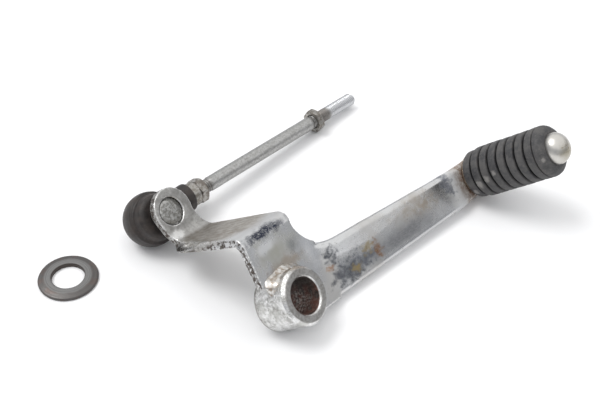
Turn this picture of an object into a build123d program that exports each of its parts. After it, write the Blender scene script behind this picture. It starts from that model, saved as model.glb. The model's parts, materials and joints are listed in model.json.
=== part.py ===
from build123d import *
from math import cos, radians, sin, sqrt
import os

# Motorcycle gear shift lever with its ball-jointed linkage rod, lying on a flat surface.
# Row frame: +Z is up from that surface, +X follows the pedal arm, the origin is the middle of
# the pivot bore. The lever itself is drawn in its own frame: x along the pedal arm, y towards
# the linkage arm, z outboard along the pivot axis.

# ---- how the lever lies -------------------------------------------------------------------
arm_fall = 9.72          # degrees the pedal arm drops towards the peg
axis_rise = 42.52        # degrees the pivot axis is rolled up from the surface
floor_z = -13.67         # height of the surface it lies on

# ---- pivot boss ---------------------------------------------------------------------------
bore_r = 7.0
boss_r = 11.2
boss_length = 17.6
boss_outer_chamfer = 1.3
boss_inner_chamfer = 0.8
boss_bore_chamfer = 0.9
weld_leg = 1.8
weld_start = -42.0       # degrees round from the pedal arm where the plate first meets the boss
weld_arc = 168.0         # degrees from there to where the plate leaves it

# ---- pressed plate: linkage arm and pedal arm in one piece --------------------------------
plate_t = 3.2
arm_t = 5.0              # depth of the pedal arm over its turned-in lips
lip_w = 3.0              # width of those lips
plate_face = 2.5         # outboard face of the middle part of the plate
step_y = 30.0            # where the plate turns inboard
foot_y = 35.6            # where it turns back, ready for the eye
eye_face = -40.0         # outboard face of the eye
bend_r = 5.0             # outside radius of the two bends
eye_y = 47.3             # stud axis
eye_x = 1.3              # the eye's outline is a little off the stud
eye_r = 9.3
peg_x = 108.6            # pivot axis to peg axis
arm_bend_x = 21.0        # the pedal arm leaves the plate here
pad_bend_x = 95.0        # and comes back parallel to it here
pad_face = 20.5          # outboard face of the pad that carries the peg
pad_r = 8.2
pad_y = -0.7             # and its outline is a little off the peg
arm_bend_r = 14.0
edge_round = 2.3

# ---- peg ----------------------------------------------------------------------------------
pin_r = 5.5
tenon_r = 4.5
collar_r = 9.2
collar_t = 1.6
collar_chamfer = 0.5
rubber_r = 11.0
first_rib_r = 10.4       # the rib next to the collar is a little smaller
rubber_end_round = 1.2
first_rib_round = 0.9
rubber_length = 39.8
rib_pitch = 4.52
first_groove = 4.5       # height of the lowest groove above the collar
groove_count = 8
groove_depth = 1.0
groove_mouth = 1.6       # width of a groove at the surface, and at its bottom
groove_floor = 0.5
dome_r = 6.7
dome_height = 6.2
dome_edge = 0.6          # straight side of the dome before it rounds over
rivet_height = 1.4       # the tenon's riveted end, behind the pad

# ---- ball joint ---------------------------------------------------------------------------
ball_drop = 15.0         # ball centre inboard of the eye's outboard face
ball_r = 5.0
seat_clearance = 0.05
seat_t = 0.9
socket_r = 8.0
socket_low = -7.0
socket_high = 5.0
socket_chamfer = 1.0
mouth_z = 4.2            # where the socket's mouth starts to flare
boot_r = 11.4
boot_inner_r = 10.2
boot_step = 3.4
boot_lip = 8.9
boot_lip_r = 9.2
boot_mouth_r = 5.7
boot_sleeve_round = 1.0
head_r = 5.2
head_height = 1.3
head_pocket_r = 5.8
head_pocket_depth = 1.7
neck_r = 3.0
shoulder_r = 5.0
shoulder_t = 0.6
shank_outer_r = 4.6
shank_bore_start = 10.5
collar_end_r = 5.2
cap_t = 0.8
sleeve_r = 6.2

# ---- linkage rod --------------------------------------------------------------------------
rod_swing = 1.7          # degrees from the pedal arm's direction, about the stud axis
rod_tilt = 7.6           # degrees outboard of square to the stud axis
rod_r = 3.2
thread_r = 3.0
thread_pitch = 1.0
thread_depth = 0.45
thread_clearance = 0.05  # between the thread's root and whatever is screwed onto it
sleeve_end = 20.6        # the stations below are distances from the ball centre
shank_end = 24.3
inner_nut_t = 4.0
inner_thread_start = 28.6
inner_thread_end = 32.0
outer_nut_start = 98.6
outer_nut_t = 3.2
rod_end = 127.0
rod_start = 11.5
shank_far_end = 97.4
outer_thread_start = 102.2
tip_chamfer = 0.5
nut_af = 10.0            # across the flats
nut_chamfer = 0.5
nut_mouth = 0.5          # chamfer at the mouths of the nut's hole
inner_nut_turn = 12.0    # degrees each nut is turned about the rod
outer_nut_turn = 42.0

# ---- loose pivot washer -------------------------------------------------------------------
washer_x = -37.5
washer_y = 82.9
washer_outer_r = 12.0
washer_bore_r = 6.5
washer_t = 2.0
washer_rim_t = 1.3
washer_land_r = 9.2      # the flat top reaches this far out, then slopes to the rim
washer_edge = 0.3

# ---- frames -------------------------------------------------------------------------------
fall = radians(arm_fall)
rise = radians(axis_rise)
lever = Plane(
    origin=(0, 0, 0),
    x_dir=(cos(fall), 0, -sin(fall)),
    z_dir=(sin(rise) * sin(fall), -cos(rise), sin(rise) * cos(fall)),
)


def lever_point(x, y, z):
    """A point given in the lever's own frame."""
    return lever.from_local_coords(Vector(x, y, z))


def lever_direction(x, y, z):
    """A direction given in the lever's own frame."""
    return lever_point(x, y, z) - lever_point(0, 0, 0)


def lever_level(z):
    """The plane across the pivot axis at height z."""
    return lever.offset(z)


def axis_section(x, y, turn=0):
    """A plane through the line parallel to the pivot axis at (x, y): radius first, height second."""
    angle = radians(turn)
    return Plane(
        origin=lever_point(x, y, 0),
        x_dir=lever_direction(cos(angle), sin(angle), 0),
        z_dir=lever_direction(sin(angle), -cos(angle), 0),
    )


def pivot_line(x, y):
    return Axis(lever_point(x, y, 0), lever.z_dir)


# side views of the plate: one across the arm for the joggle, one along the arm
joggle_side = Plane(
    origin=lever_point(-20, 0, 0), x_dir=lever_direction(0, 1, 0), z_dir=lever.x_dir
)
arm_side = Plane(
    origin=lever_point(0, 20, 0), x_dir=lever.x_dir, z_dir=lever_direction(0, -1, 0)
)

# the ball joint: its housing leans with the rod
ball_z = eye_face - ball_drop
swing = radians(rod_swing)
tilt = radians(rod_tilt)
ball_centre = lever_point(0, eye_y, ball_z)
rod_dir = lever_direction(cos(tilt) * cos(swing), cos(tilt) * sin(swing), sin(tilt))
housing_dir = lever_direction(-sin(tilt) * cos(swing), -sin(tilt) * sin(swing), cos(tilt))
housing = Plane(origin=ball_centre, x_dir=rod_dir, z_dir=housing_dir)
thread_root_r = thread_r - thread_depth
joint_section = Plane(origin=ball_centre, x_dir=rod_dir, z_dir=rod_dir.cross(housing_dir))
housing_line = Axis(ball_centre, housing_dir)
rod_across = Plane(origin=ball_centre, x_dir=housing_dir, z_dir=rod_dir)
rod_line = Axis(ball_centre, rod_dir)


def on_arm_rim(edge):
    """True for the edges along the pedal arm's outline."""
    spot = lever.to_local_coords(edge.center())
    return spot.X > 20.5 and (abs(spot.Y) > 3 or spot.X > peg_x + 4)


def save(piece, name):
    piece.part.label = name
    export_step(piece.part, "parts/" + name + ".step")


os.makedirs("parts", exist_ok=True)

# ---- lever plate --------------------------------------------------------------------------
arm_bends = [
    (6, plate_face),
    (arm_bend_x, plate_face),
    (pad_bend_x, pad_face),
    (peg_x + pad_r + 2, pad_face),
]

with BuildPart() as arm_hollow:
    # the shallow hollow behind the pedal arm, between its turned-in lips
    with BuildSketch(arm_side):
        with BuildLine():
            FilletPolyline(*arm_bends, radius=arm_bend_r)
            offset(amount=2 * arm_t, side=Side.RIGHT)
        make_face()
        with BuildLine():
            FilletPolyline(*arm_bends, radius=arm_bend_r)
            offset(amount=plate_t, side=Side.RIGHT)
        make_face(mode=Mode.SUBTRACT)
    extrude(amount=40)
    with BuildSketch(lever_level(-20)):
        with BuildLine():
            FilletPolyline(
                (30, 10.7 - lip_w),
                (97, 8.5 - lip_w),
                (97, lip_w - 9.4),
                (30, lip_w - 10.8),
                radius=3,
                close=True,
            )
        make_face()
    extrude(amount=60, mode=Mode.INTERSECT)

with BuildPart() as pedal_arm:
    # the pedal arm: leaves the plate, slopes outboard, then flattens into the peg's pad
    with BuildSketch(arm_side):
        with BuildLine():
            FilletPolyline(*arm_bends, radius=arm_bend_r)
            offset(amount=arm_t, side=Side.RIGHT)
        make_face()
    extrude(amount=40)
    with BuildSketch(lever_level(-10)):
        with BuildLine():
            pad = CenterArc((peg_x, pad_y), pad_r, 97, -194)
            lower = Line(pad @ 1, (27.0, -10.8))
            Polyline(lower @ 1, (14.0, -10.9), (14.0, 16.0), (19.0, 16.2))
            upper = Spline((19.0, 16.2), (27.0, 11.2), (40.0, 10.1), tangents=((0.7, -1), (1, -0.04)))
            Line(upper @ 1, pad @ 0)
        make_face()
    extrude(amount=50, mode=Mode.INTERSECT)
    # every long edge of the arm is rounded over; the short lines across its bends are not
    fillet(pedal_arm.edges().filter_by(on_arm_rim), radius=edge_round)
    add(arm_hollow.part, mode=Mode.SUBTRACT)

with BuildPart() as lever_plate:
    # the linkage arm: flat at the pivot, stepped inboard, flat again at the eye
    with BuildSketch(joggle_side):
        with BuildLine():
            FilletPolyline(
                (-14, plate_face),
                (step_y, plate_face),
                (foot_y, eye_face),
                (eye_y + eye_r + 2, eye_face),
                radius=bend_r,
            )
            offset(amount=plate_t, side=Side.RIGHT)
        make_face()
    extrude(amount=42)
    with BuildSketch(lever_level(eye_face - plate_t - 5)):
        with BuildLine():
            eye = CenterArc((eye_x, eye_y), eye_r, -12, 206)
            right = Spline(
                eye @ 0, (11.2, 41.0), (13.0, foot_y), (15.6, 28.5), (15.2, 24.0),
                (19.6, 15.6), (22.0, 13.6), tangents=((eye % 0) * -1, (1.0, -0.7)),
            )
            Polyline(right @ 1, (22.0, -11.0), (8.0, -10.9), (0, 0), (-7.0, 8.0), (-12.0, 10.0))
            left = Line((-12.0, 10.0), (-11.2, 27.5))
            Spline(left @ 1, (-5.4, 35.5), (-6.4, 39.5), eye @ 1, tangents=(left % 1, (eye % 1) * -1))
        make_face()
    extrude(amount=70, mode=Mode.INTERSECT)
    add(pedal_arm.part)
    # the notch that the boss tube stands in, and the holes for the stud and the peg's tenon
    with BuildSketch(lever_level(-boss_length)):
        Circle(boss_r)
    extrude(amount=2 * boss_length, mode=Mode.SUBTRACT)
    with BuildSketch(lever_level(pad_face)):
        with Locations((peg_x, 0)):
            Circle(tenon_r)
    extrude(amount=-2 * arm_t, mode=Mode.SUBTRACT)
    with BuildSketch(lever_level(eye_face)):
        with Locations((0, eye_y)):
            Circle(neck_r + 1)
    extrude(amount=-2 * plate_t, mode=Mode.SUBTRACT)
    with BuildSketch(lever_level(eye_face)):
        with Locations((0, eye_y)):
            Circle(head_pocket_r)
    extrude(amount=-head_pocket_depth, mode=Mode.SUBTRACT)
save(lever_plate, "lever_plate")

# ---- pivot boss and its welds --------------------------------------------------------------
half = boss_length / 2
with BuildPart() as pivot_boss:
    with BuildSketch(axis_section(0, 0)):
        with BuildLine():
            Polyline(
                (bore_r, -half + boss_bore_chamfer),
                (bore_r + boss_bore_chamfer, -half),
                (boss_r - boss_inner_chamfer, -half),
                (boss_r, -half + boss_inner_chamfer),
                (boss_r, half - boss_outer_chamfer),
                (boss_r - boss_outer_chamfer, half),
                (bore_r + boss_bore_chamfer, half),
                (bore_r, half - boss_bore_chamfer),
                close=True,
            )
        make_face()
    revolve(axis=pivot_line(0, 0))
save(pivot_boss, "pivot_boss")


def weld_bead(face, way, name):
    """A fillet weld round the boss on one side of the plate, where the plate reaches it."""
    with BuildPart() as bead:
        with BuildSketch(axis_section(0, 0, weld_start)):
            with BuildLine():
                Polyline(
                    (boss_r, face),
                    (boss_r + weld_leg, face),
                    (boss_r, face + way * weld_leg),
                    close=True,
                )
            make_face()
        revolve(axis=pivot_line(0, 0), revolution_arc=weld_arc)
    save(bead, name)


weld_bead(plate_face, 1, "boss_weld_outer")
weld_bead(plate_face - plate_t, -1, "boss_weld_inner")

# ---- peg ----------------------------------------------------------------------------------
collar_top = pad_face + collar_t
rubber_top = collar_top + rubber_length
with BuildPart() as peg_pin:
    with BuildSketch(axis_section(peg_x, 0)):
        with BuildLine():
            Polyline(
                (0, rubber_top + dome_height),
                (0, pad_face - arm_t - rivet_height),
                (tenon_r + 0.6, pad_face - arm_t - rivet_height),
                (tenon_r + rivet_height, pad_face - arm_t),
                (tenon_r, pad_face - arm_t),
                (tenon_r, pad_face),
                (pin_r, pad_face),
                (pin_r, rubber_top),
                (dome_r, rubber_top),
                (dome_r, rubber_top + dome_edge),
            )
            Spline(
                (dome_r, rubber_top + dome_edge),
                (0.75 * dome_r, rubber_top + 0.72 * dome_height),
                (0, rubber_top + dome_height),
                tangents=((0, 1), (-1, 0)),
            )
        make_face()
    revolve(axis=pivot_line(peg_x, 0))
save(peg_pin, "peg_pin")

with BuildPart() as peg_collar:
    with BuildSketch(axis_section(peg_x, 0)):
        with BuildLine():
            Polyline(
                (pin_r, pad_face),
                (collar_r - collar_chamfer, pad_face),
                (collar_r, pad_face + collar_chamfer),
                (collar_r, collar_top - collar_chamfer),
                (collar_r - collar_chamfer, collar_top),
                (pin_r, collar_top),
                close=True,
            )
        make_face()
    revolve(axis=pivot_line(peg_x, 0))
save(peg_collar, "peg_collar")

groove_r = rubber_r - groove_depth
rubber_edges = [
    (rubber_r - rubber_end_round, rubber_top),
    (rubber_r, rubber_top - rubber_end_round),
]
for k in reversed(range(groove_count)):
    # down one groove after another, from the outer end to the collar
    z = collar_top + first_groove + k * rib_pitch
    rubber_edges += [
        (rubber_r, z + groove_mouth / 2),
        (groove_r, z + groove_floor / 2),
        (groove_r, z - groove_floor / 2),
        (rubber_r, z - groove_mouth / 2),
    ]
rubber_edges[-1] = (first_rib_r, collar_top + first_groove - groove_mouth / 2)
rubber_edges += [
    (first_rib_r, collar_top + first_rib_round),
    (first_rib_r - first_rib_round, collar_top),
]
with BuildPart() as peg_rubber:
    with BuildSketch(axis_section(peg_x, 0)):
        with BuildLine():
            Polyline((pin_r, collar_top), (pin_r, rubber_top), *rubber_edges, close=True)
        make_face()
    revolve(axis=pivot_line(peg_x, 0))
save(peg_rubber, "peg_rubber")

# ---- ball joint ---------------------------------------------------------------------------
with BuildPart() as ball_stud:
    # riveted head in the eye's pocket, shank, shoulder against the plate, neck and ball
    shank_r = neck_r + 1
    pocket_floor = eye_face - head_pocket_depth
    plate_back = eye_face - plate_t
    neck_meets_ball = sqrt(ball_r**2 - neck_r**2)
    with BuildSketch(axis_section(0, eye_y)):
        with BuildLine():
            Polyline(
                (0, ball_z - ball_r),
                (0, pocket_floor + head_height),
                (head_r - 0.9, pocket_floor + head_height - 0.2),
                (head_r, pocket_floor + 0.5),
                (head_r, pocket_floor),
                (shank_r, pocket_floor),
                (shank_r, plate_back),
                (shoulder_r, plate_back),
                (shoulder_r, plate_back - shoulder_t),
                (neck_r, plate_back - shoulder_t),
                (neck_r, ball_z + neck_meets_ball),
            )
            ThreePointArc(
                (neck_r, ball_z + neck_meets_ball), (ball_r, ball_z), (0, ball_z - ball_r)
            )
        make_face()
    revolve(axis=pivot_line(0, eye_y))
save(ball_stud, "ball_stud")

seat_in_r = ball_r + seat_clearance
seat_out_r = seat_in_r + seat_t
with BuildPart() as ball_seat:
    # a spherical liner, open towards the eye so that the neck can pass
    with BuildSketch(axis_section(0, eye_y)):
        with Locations((0, ball_z)):
            Circle(seat_out_r)
            Circle(seat_in_r, mode=Mode.SUBTRACT)
        with Locations((seat_out_r, ball_z - 0.6)):
            Rectangle(2 * seat_out_r, 7.8, mode=Mode.INTERSECT)
    revolve(axis=pivot_line(0, eye_y))
save(ball_seat, "ball_seat")

cavity_r = seat_out_r + seat_clearance
with BuildPart() as joint_housing:
    # the round socket
    with BuildSketch(joint_section):
        with BuildLine():
            Polyline(
                (0, socket_low),
                (socket_r - socket_chamfer, socket_low),
                (socket_r, socket_low + socket_chamfer),
                (socket_r, socket_high - socket_chamfer),
                (socket_r - socket_chamfer, socket_high),
                (0, socket_high),
                close=True,
            )
        make_face()
    revolve(axis=housing_line)
    # the shank towards the rod, with the collar that the locknut bears on
    with BuildSketch(rod_across):
        Circle(shank_outer_r)
    extrude(amount=sleeve_end)
    with BuildSketch(rod_across.offset(sleeve_end)):
        Circle(collar_end_r)
    extrude(amount=shank_end - sleeve_end)
    # the seat's cavity, closed below by the cap, and its mouth above
    with BuildSketch(joint_section):
        with BuildLine():
            mouth_in_r = sqrt(cavity_r**2 - mouth_z**2)
            Polyline((0, socket_low - 1), (cavity_r, socket_low - 1), (cavity_r, 0))
            RadiusArc((cavity_r, 0), (mouth_in_r, mouth_z), -cavity_r)
            Polyline(
                (mouth_in_r, mouth_z),
                (mouth_in_r + 0.9, socket_high + 0.2),
                (0, socket_high + 0.2),
                (0, socket_low - 1),
            )
        make_face()
    revolve(axis=housing_line, mode=Mode.SUBTRACT)
    # the female thread's bore
    with BuildSketch(rod_across.offset(shank_bore_start)):
        Circle(thread_root_r + thread_clearance)
    extrude(amount=shank_end, mode=Mode.SUBTRACT)
save(joint_housing, "joint_housing")

with BuildPart() as socket_cap:
    # the pressed disc that closes the socket under the seat
    with BuildSketch(housing.offset(socket_low)):
        Circle(cavity_r)
    extrude(amount=cap_t)
save(socket_cap, "socket_cap")

with BuildPart() as dust_boot:
    # the rubber cover: a dome over the socket, a narrower lip at the eye, a sleeve on the shank
    dome_low = -boot_r
    step_r = sqrt(boot_r**2 - boot_step**2)
    with BuildSketch(joint_section):
        with BuildLine():
            ThreePointArc((0, dome_low), (boot_r * cos(0.8), -boot_r * sin(0.8)), (step_r, boot_step))
            Polyline(
                (step_r, boot_step),
                (boot_lip_r, boot_step + 0.9),
                (boot_lip_r, boot_lip - 0.8),
                (boot_lip_r - 0.8, boot_lip),
                (0, boot_lip),
                (0, dome_low),
            )
        make_face()
    revolve(axis=housing_line)
    with BuildSketch(rod_across):
        Circle(sleeve_r)
    extrude(amount=sleeve_end)
    sleeve_rim = dust_boot.edges().filter_by(GeomType.CIRCLE).filter_by(
        lambda e: abs(e.radius - sleeve_r) < 0.01
    )
    fillet(sleeve_rim, radius=boot_sleeve_round)
    # the hollow that the socket fills, and the mouth that the stud's neck swings in
    with BuildSketch(joint_section):
        with BuildLine():
            rim = sqrt(boot_inner_r**2 - socket_high**2)
            ThreePointArc((0, -boot_inner_r), (boot_inner_r, 0), (rim, socket_high))
            Polyline(
                (rim, socket_high),
                (boot_mouth_r + 1.2, boot_lip - 1.6),
                (boot_mouth_r, boot_lip - 1.2),
                (boot_mouth_r, boot_lip + 1),
                (0, boot_lip + 1),
                (0, -boot_inner_r),
            )
        make_face()
    revolve(axis=housing_line, mode=Mode.SUBTRACT)
    with BuildSketch(rod_across):
        Circle(shank_outer_r)
    extrude(amount=sleeve_end + 1, mode=Mode.SUBTRACT)
save(dust_boot, "dust_boot")

# ---- linkage rod and its locknuts ---------------------------------------------------------
def thread_outline(start, end):
    """The crests and roots of a thread between two stations along the rod."""
    points = []
    turns = int((end - start) / thread_pitch)
    for turn in range(turns):
        s = start + turn * thread_pitch
        points += [
            (s, thread_root_r),
            (s + 0.44 * thread_pitch, thread_r),
            (s + 0.56 * thread_pitch, thread_r),
        ]
    return points


with BuildPart() as link_rod:
    # crests are drawn where the thread is bare; inside the housing and the nuts it stays at its root
    with BuildSketch(joint_section):
        with BuildLine():
            Polyline(
                (rod_start, 0),
                (rod_start, thread_root_r),
                *thread_outline(inner_thread_start, inner_thread_end),
                (inner_thread_end, thread_root_r),
                (inner_thread_end + 0.6, rod_r),
                (shank_far_end, rod_r),
                (shank_far_end + 0.6, thread_root_r),
                *thread_outline(outer_thread_start, rod_end - tip_chamfer),
                (rod_end - tip_chamfer, thread_root_r),
                (rod_end, thread_root_r - tip_chamfer),
                (rod_end, 0),
                close=True,
            )
        make_face()
    revolve(axis=rod_line)
save(link_rod, "link_rod")


def locknut(start, thickness, turn, name):
    """A chamfered hexagon nut between two stations along the rod."""
    end = start + thickness
    hole_r = thread_root_r + thread_clearance
    flat_r = nut_af / 2 - 0.1
    corner_r = nut_af / sqrt(3) + 0.1
    with BuildPart() as nut:
        with BuildSketch(rod_across.offset(start)):
            RegularPolygon(radius=nut_af / sqrt(3), side_count=6, rotation=turn)
        extrude(amount=thickness)
        with BuildSketch(joint_section):
            with BuildLine():
                Polyline(
                    (start, hole_r + nut_mouth),
                    (start, flat_r),
                    (start + nut_chamfer, corner_r),
                    (end - nut_chamfer, corner_r),
                    (end, flat_r),
                    (end, hole_r + nut_mouth),
                    (end - nut_mouth, hole_r),
                    (start + nut_mouth, hole_r),
                    close=True,
                )
            make_face()
        revolve(axis=rod_line, mode=Mode.INTERSECT)
    save(nut, name)


locknut(shank_end, inner_nut_t, inner_nut_turn, "inner_locknut")
locknut(outer_nut_start, outer_nut_t, outer_nut_turn, "outer_locknut")

# ---- loose washer, lying flat -------------------------------------------------------------
with BuildPart() as pivot_washer:
    with BuildSketch(Plane(origin=(washer_x, washer_y, floor_z), z_dir=(0, -1, 0), x_dir=(1, 0, 0))):
        with BuildLine():
            Polyline(
                (washer_bore_r, 0),
                (washer_outer_r - washer_edge, 0),
                (washer_outer_r, washer_edge),
                (washer_outer_r - washer_edge, washer_rim_t),
                (washer_land_r, washer_t),
                (washer_bore_r + washer_edge, washer_t),
                (washer_bore_r, washer_t - washer_edge),
                close=True,
            )
        make_face()
    revolve(axis=Axis((washer_x, washer_y, 0), (0, 0, 1)))
save(pivot_washer, "pivot_washer")
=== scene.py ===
import json
from math import asin, cos, exp, pi, radians, sin, sqrt, tan, tau

import bmesh
import bpy
from mathutils import Matrix, Vector, noise


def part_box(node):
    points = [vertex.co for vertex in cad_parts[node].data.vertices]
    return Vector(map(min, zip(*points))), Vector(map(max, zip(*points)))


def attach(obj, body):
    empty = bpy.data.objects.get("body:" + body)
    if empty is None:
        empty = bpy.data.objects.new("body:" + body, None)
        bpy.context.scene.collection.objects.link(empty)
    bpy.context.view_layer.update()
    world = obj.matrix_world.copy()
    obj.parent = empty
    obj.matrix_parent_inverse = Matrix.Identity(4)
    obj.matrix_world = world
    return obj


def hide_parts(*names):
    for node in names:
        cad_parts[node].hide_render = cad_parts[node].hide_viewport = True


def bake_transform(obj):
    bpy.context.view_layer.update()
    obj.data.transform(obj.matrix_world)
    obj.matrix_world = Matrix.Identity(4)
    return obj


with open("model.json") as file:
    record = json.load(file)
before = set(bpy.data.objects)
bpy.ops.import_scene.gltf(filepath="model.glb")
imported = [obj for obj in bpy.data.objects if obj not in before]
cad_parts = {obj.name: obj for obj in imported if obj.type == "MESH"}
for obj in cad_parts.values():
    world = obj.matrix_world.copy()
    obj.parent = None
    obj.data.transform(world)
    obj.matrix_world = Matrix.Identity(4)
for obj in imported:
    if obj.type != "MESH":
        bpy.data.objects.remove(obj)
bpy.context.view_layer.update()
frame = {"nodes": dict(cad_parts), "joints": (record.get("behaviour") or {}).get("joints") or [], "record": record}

# A worn motorcycle gear shift lever with its linkage rod and a loose washer, on a white floor.
# The scene is in metres; lengths written here are millimetres, in one of the places below.
MM = 0.001
nodes = frame["nodes"]
joints = {joint["name"]: joint for joint in frame["joints"]}
mounts = {mount["name"]: mount for mount in frame["record"]["mounts"]}


# ---- places: frames that turn a point in millimetres into a point of the part's frame -------
def place(origin, x, z):
    """A frame with its origin in metres, z as given and x square to it."""
    z = z.normalized()
    x = (x - z * x.dot(z)).normalized()
    turn = Matrix((x, z.cross(x), z)).transposed().to_4x4()
    return Matrix.Translation(origin) @ turn @ Matrix.Scale(MM, 4)


def shifted(where, x, y):
    """A place moved square to its z axis."""
    return where @ Matrix.Translation((x, y, 0))


def middle(node):
    """The centre of a node's box, in metres."""
    low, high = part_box(node)
    return (Vector(low) + Vector(high)) / 2


def inside(where, point):
    """A point of the part's frame, in a place's own millimetres."""
    return where.inverted() @ Vector(point)


outboard = Vector(mounts["pivot_bore"]["axis"])
ball = Vector(joints["ball_swivel"]["pos_m"])
rod_way = Vector(joints["rod_turn"]["axis"])
to_linkage = ball - outboard * ball.dot(outboard)
joint_up = outboard - rod_way * outboard.dot(rod_way)

lever = place(Vector(), to_linkage.cross(outboard), outboard)
stud = shifted(lever, 0, inside(lever, ball).y)
peg = shifted(lever, inside(lever, middle("peg_collar")).x, 0)
joint = place(ball, rod_way, joint_up)
rod = place(ball, joint_up, rod_way)
washer = place(Vector(mounts["washer_bore"]["pos_m"]), Vector((1, 0, 0)), Vector((0, 0, 1)))


# ---- driving sizes --------------------------------------------------------------------------
bore_r = mounts["pivot_bore"]["dims"]["r_mm"]
washer_hole_r = mounts["washer_bore"]["dims"]["r_mm"]
thread_r = mounts["rod_thread"]["dims"]["r_mm"]
thread_depth, thread_pitch = 0.6, 1.0
boss_r, boss_half = 11.2, 8.8
pin_r, shank_r = 5.5, 3.2
# heights along the lever's z axis: the plate at the boss, at the eye and at the peg's pad
thickness = 3.2
plate_front, eye_front = 2.5, -40.0
plate_back, eye_back = plate_front - thickness, eye_front - thickness
pad_front, pad_back = 20.5, 15.5
collar_top = pad_front + 1.6
rubber_top = collar_top + 39.8
# lengths along the rod from the ball's centre; its plain shank lies between the two threads
rod_start, near_thread_end, far_thread_start, rod_end = 11.5, 32.0, 97.4, 127.0


# ---- mesh helpers ---------------------------------------------------------------------------
def rounded(corners, closed=True, steps=5):
    """Corners are (radius, height, rounding); each becomes a short smooth bend."""
    points = []
    count = len(corners)
    for i, (radius, height, rounding) in enumerate(corners):
        here = Vector((radius, height))
        at_end = not closed and i in (0, count - 1)
        if rounding == 0 or at_end:
            points.append(here)
            continue
        back = Vector(corners[i - 1][:2]) - here
        on = Vector(corners[(i + 1) % count][:2]) - here
        reach = rounding / tan(max(back.angle(on), 0.3) / 2)
        start = here + back.normalized() * min(reach, 0.46 * back.length)
        end = here + on.normalized() * min(reach, 0.46 * on.length)
        for k in range(steps + 1):
            t = k / steps
            points.append(start * (1 - t) ** 2 + here * 2 * t * (1 - t) + end * t * t)
    return points


def divided(points, longest, closed=True):
    """The same outline with no run longer than `longest`."""
    result = []
    count = len(points)
    for i, here in enumerate(points):
        result.append(here)
        if i == count - 1 and not closed:
            break
        after = points[(i + 1) % count]
        parts = int((after - here).length / longest) + 1
        result += [here.lerp(after, k / parts) for k in range(1, parts)]
    return result


def arc_points(radius, rise, first, last, steps, centre=0.0):
    """Points (radius, height) of an ellipse centred on the axis, from one angle to another."""
    angles = [first + (last - first) * k / steps for k in range(steps + 1)]
    return [Vector((max(radius * cos(a), 0.0), centre + rise * sin(a))) for a in angles]


def finished(name, mesh, body, slot, material, *stands_for):
    """Links a mesh as a smooth piece that rides on a body and stands for nodes of the design."""
    piece = bpy.data.objects.new(name, mesh)
    bpy.context.scene.collection.objects.link(piece)
    mesh.materials.clear()
    mesh.materials.append(material)
    mesh.polygons.foreach_set("use_smooth", [True] * len(mesh.polygons))
    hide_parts(*stands_for)
    if body:
        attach(piece, body)
    return piece


def turned_mesh(name, where, outline, around=96, closed=True, shape=None, start=0.0, arc=tau):
    """Turns an outline of (radius, height) about a place's z axis.

    shape(angle, radius, height) may give a new (radius, height) for each point.
    """
    bm = bmesh.new()
    whole = arc >= tau
    steps = around if whole else around + 1
    rings = []
    for radius, height in outline:
        if radius <= 1e-6:
            rings.append([bm.verts.new(where @ Vector((0, 0, height)))])
            continue
        ring = []
        for k in range(steps):
            angle = start + arc * k / around
            r, h = shape(angle, radius, height) if shape else (radius, height)
            ring.append(bm.verts.new(where @ Vector((r * cos(angle), r * sin(angle), h))))
        rings.append(ring)
    pairs = list(zip(rings, rings[1:]))
    if closed:
        pairs.append((rings[-1], rings[0]))
    for low, high in pairs:
        for k in range(around):
            after = (k + 1) % steps
            around_face = ((low, k), (low, after), (high, after), (high, k))
            corners = [ring[i % len(ring)] for ring, i in around_face]
            bm.faces.new(list(dict.fromkeys(corners)))
    if not whole:
        bm.faces.new([ring[0] for ring in rings])
        bm.faces.new([ring[-1] for ring in reversed(rings)])
    bmesh.ops.recalc_face_normals(bm, faces=bm.faces)
    mesh = bpy.data.meshes.new(name)
    bm.to_mesh(mesh)
    bm.free()
    return mesh


def limited(value):
    """The value, kept between 0 and 1."""
    return min(max(value, 0.0), 1.0)


def wander(point, size, seed=0.0):
    """Smooth noise from -1 to 1 whose features are about `size` across."""
    return noise.noise(Vector(point) / size + Vector((seed, seed * 1.7, -seed)))


def voxelled(name, mesh, voxel, passes):
    """The mesh joined into one skin of small even faces, with its edges worn round."""
    bm = bmesh.new()
    bm.from_mesh(mesh)
    bmesh.ops.remove_doubles(bm, verts=bm.verts, dist=1e-6)
    bm.to_mesh(mesh)
    bm.free()
    blank = bpy.data.objects.new(name + "_blank", mesh)
    bpy.context.scene.collection.objects.link(blank)
    remesh = blank.modifiers.new("skin", "REMESH")
    remesh.mode = "VOXEL"
    remesh.voxel_size = voxel * MM
    smooth = blank.modifiers.new("wear", "SMOOTH")
    smooth.factor = 0.5
    smooth.iterations = passes
    ready = blank.evaluated_get(bpy.context.evaluated_depsgraph_get())
    result = bpy.data.meshes.new_from_object(ready)
    result.name = name
    bpy.data.objects.remove(blank)
    return result


def pushed(mesh, where, amount):
    """Moves each vertex along its normal by amount(spot, normal), its spot measured in a place."""
    back = where.inverted()
    moved = []
    for spot, normal in [(vert.co.copy(), vert.normal.copy()) for vert in mesh.vertices]:
        moved.extend(spot + normal * MM * amount(back @ spot, normal))
    mesh.vertices.foreach_set("co", moved)
    mesh.update()


def paint(mesh, name, values):
    """Stores one number per vertex for a material to read."""
    layer = mesh.attributes.new(name, "FLOAT", "POINT")
    layer.data.foreach_set("value", values)


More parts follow.
